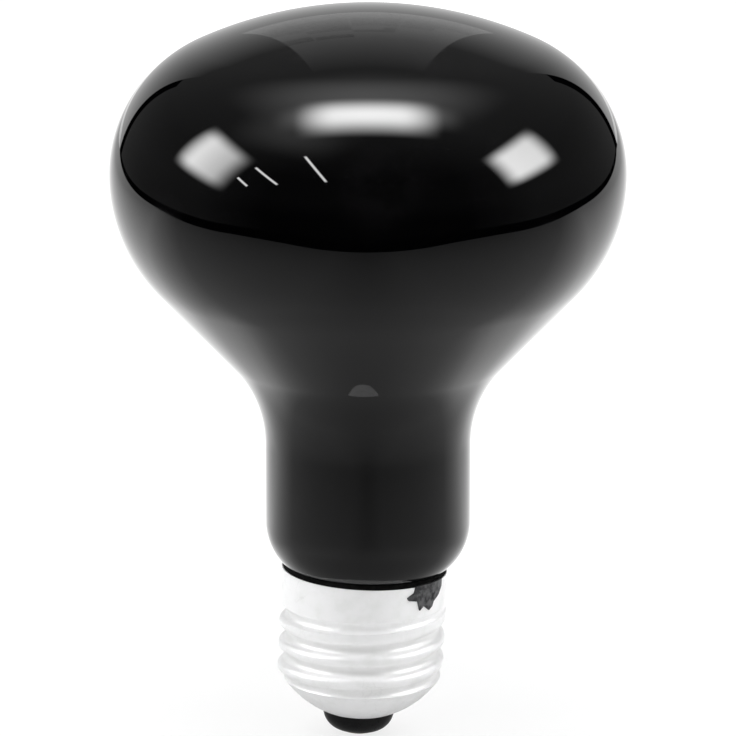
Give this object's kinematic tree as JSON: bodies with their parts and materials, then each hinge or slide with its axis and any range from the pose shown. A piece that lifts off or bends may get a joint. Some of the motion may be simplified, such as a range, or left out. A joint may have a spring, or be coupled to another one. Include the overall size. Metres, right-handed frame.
{
  "type": "black light bulb",
  "caption": "Reflector light bulb with a mushroom-shaped black glass envelope, cemented slightly askew into a bright screw cap with a centre contact.",
  "frame": {"origin": "tip of the centre contact, on the axis of the screw cap", "axes": "+Z along the cap's axis from the tip to the glass; +X to the right and -Y to the viewer in the picture's view; the glass leans towards -X"},
  "size_m": [0.0799, 0.08, 0.1163],
  "materials": {
    "black_glass": "gloss",
    "cap_metal": "satin",
    "cement": "matte",
    "insulator_glass": "gloss",
    "contact_metal": "satin",
    "tip_solder": "satin",
    "side_solder": "matte",
    "lead_wire": "satin"
  },
  "bodies": {
    "root": {"glass_bulb": "black_glass", "screw_shell": "cap_metal", "cap_cement": "cement", "insulator": "insulator_glass", "centre_contact": "contact_metal", "contact_solder": "tip_solder", "side_solder": "side_solder", "side_lead_wire": "lead_wire", "centre_lead_wire": "lead_wire"}
  },
  "joints": []
}
